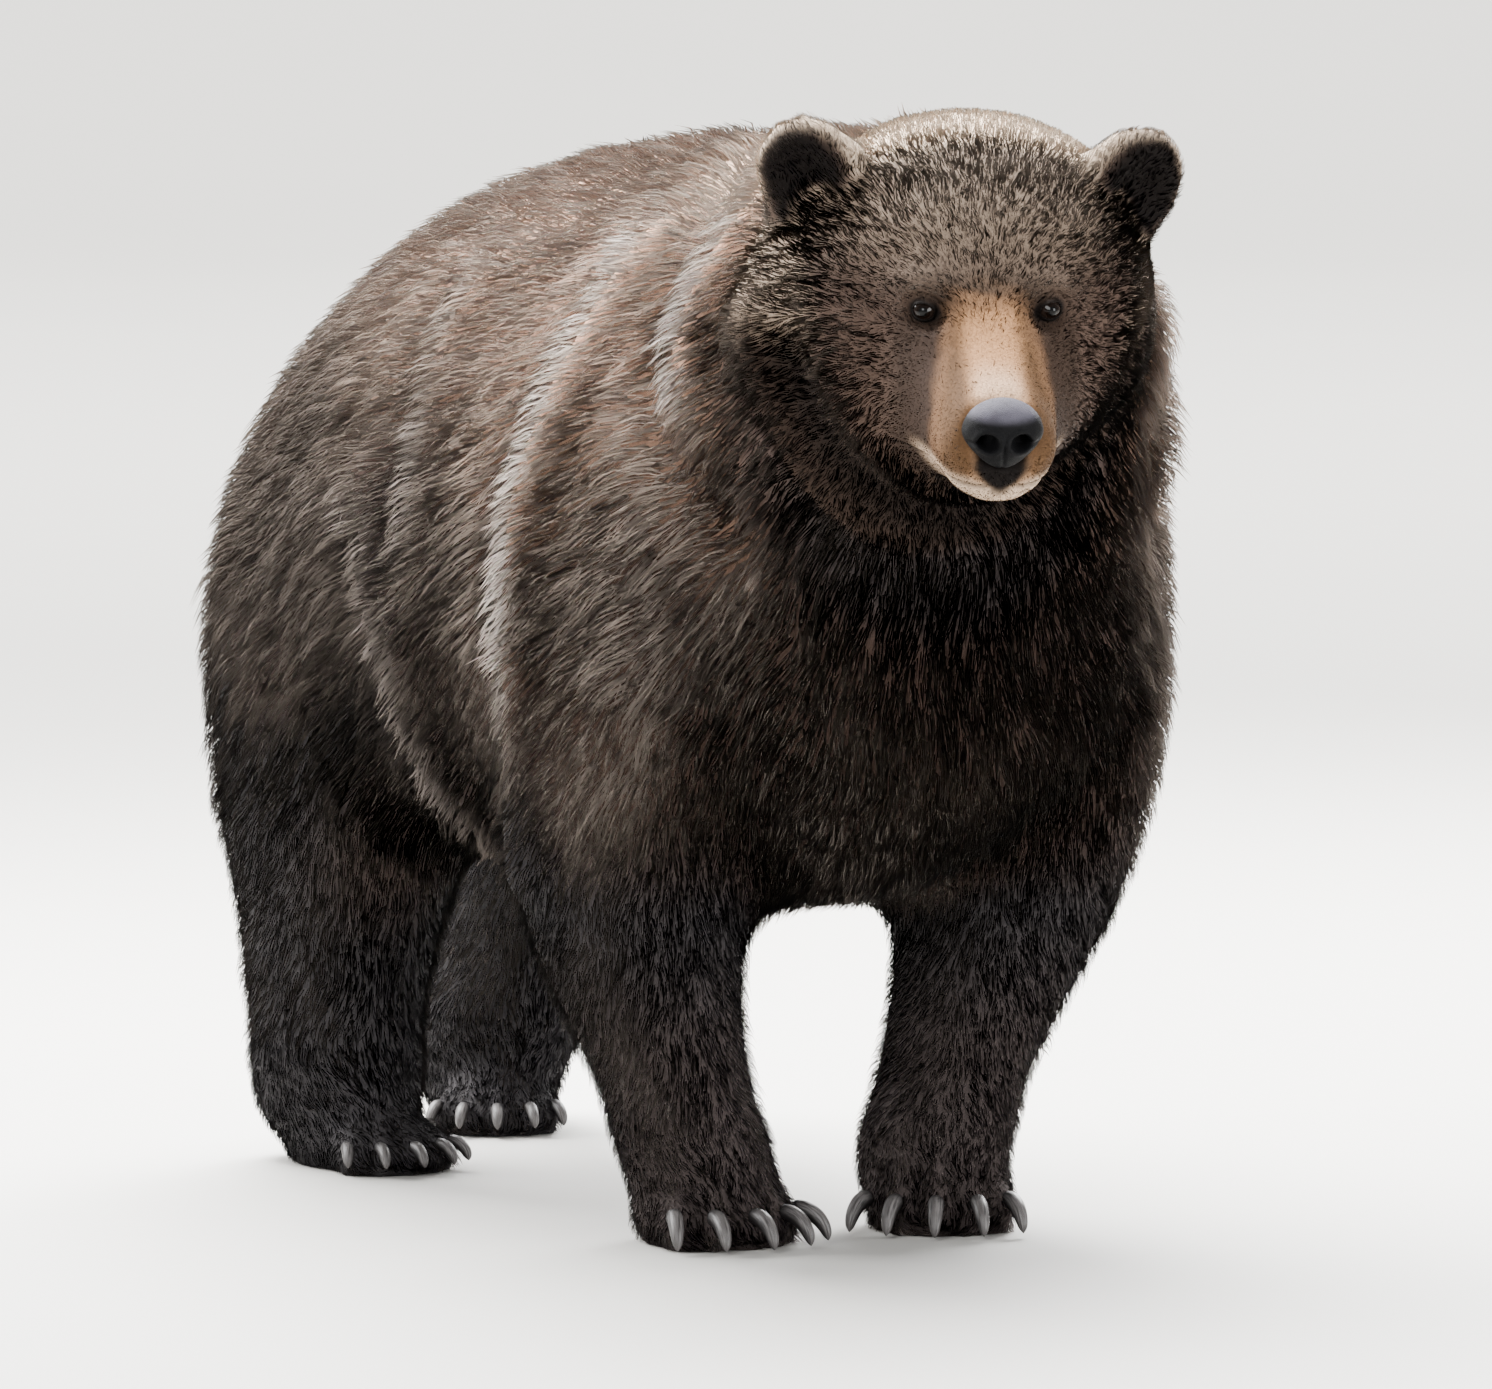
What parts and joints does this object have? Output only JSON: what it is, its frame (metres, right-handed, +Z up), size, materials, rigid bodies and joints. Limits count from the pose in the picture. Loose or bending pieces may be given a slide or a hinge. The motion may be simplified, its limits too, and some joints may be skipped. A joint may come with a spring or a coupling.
{
  "type": "grizzly bear",
  "caption": "Standing grizzly bear on all fours with its head turned to its right, heavy brown coat, round ears and long claws.",
  "frame": {"origin": "on the floor, under the middle of the bear's bounding box", "axes": "-Y forward along the body, +X to the bear's left, +Z up"},
  "size_m": [0.8676, 2.1476, 1.3716],
  "materials": {
    "fur_back": "dense frosted brown fur",
    "fur_legs": "short blackish brown fur",
    "fur_face": "short grizzled brown fur",
    "fur_muzzle": "very short buff fur",
    "claw_horn": "satin horn",
    "nose_leather": "moist grained skin",
    "eye": "wet gloss"
  },
  "bodies": {
    "root": {"claw_fore_left_1": "claw_horn", "claw_fore_left_2": "claw_horn", "claw_fore_left_3": "claw_horn", "claw_fore_left_4": "claw_horn", "claw_fore_left_5": "claw_horn", "claw_fore_right_1": "claw_horn", "claw_fore_right_2": "claw_horn", "claw_fore_right_3": "claw_horn", "claw_fore_right_4": "claw_horn", "claw_fore_right_5": "claw_horn", "claw_hind_left_1": "claw_horn", "claw_hind_left_2": "claw_horn", "claw_hind_left_3": "claw_horn", "claw_hind_left_4": "claw_horn", "claw_hind_left_5": "claw_horn", "claw_hind_right_1": "claw_horn", "claw_hind_right_2": "claw_horn", "claw_hind_right_3": "claw_horn", "claw_hind_right_4": "claw_horn", "claw_hind_right_5": "claw_horn", "ear_left": "fur_face", "ear_right": "fur_face", "eye_left": "eye", "eye_right": "eye", "foreleg_lower_left": "fur_legs", "foreleg_lower_right": "fur_legs", "foreleg_upper_left": "fur_legs", "foreleg_upper_right": "fur_legs", "forepaw_left": "fur_legs", "forepaw_right": "fur_legs", "head": "fur_face", "hindleg_lower_left": "fur_legs", "hindleg_lower_right": "fur_legs", "hindpaw_left": "fur_legs", "hindpaw_right": "fur_legs", "jaw": "fur_muzzle", "neck": "fur_back", "nose": "nose_leather", "tail": "fur_back", "thigh_left": "fur_legs", "thigh_right": "fur_legs", "trunk": "fur_back"}
  },
  "joints": []
}
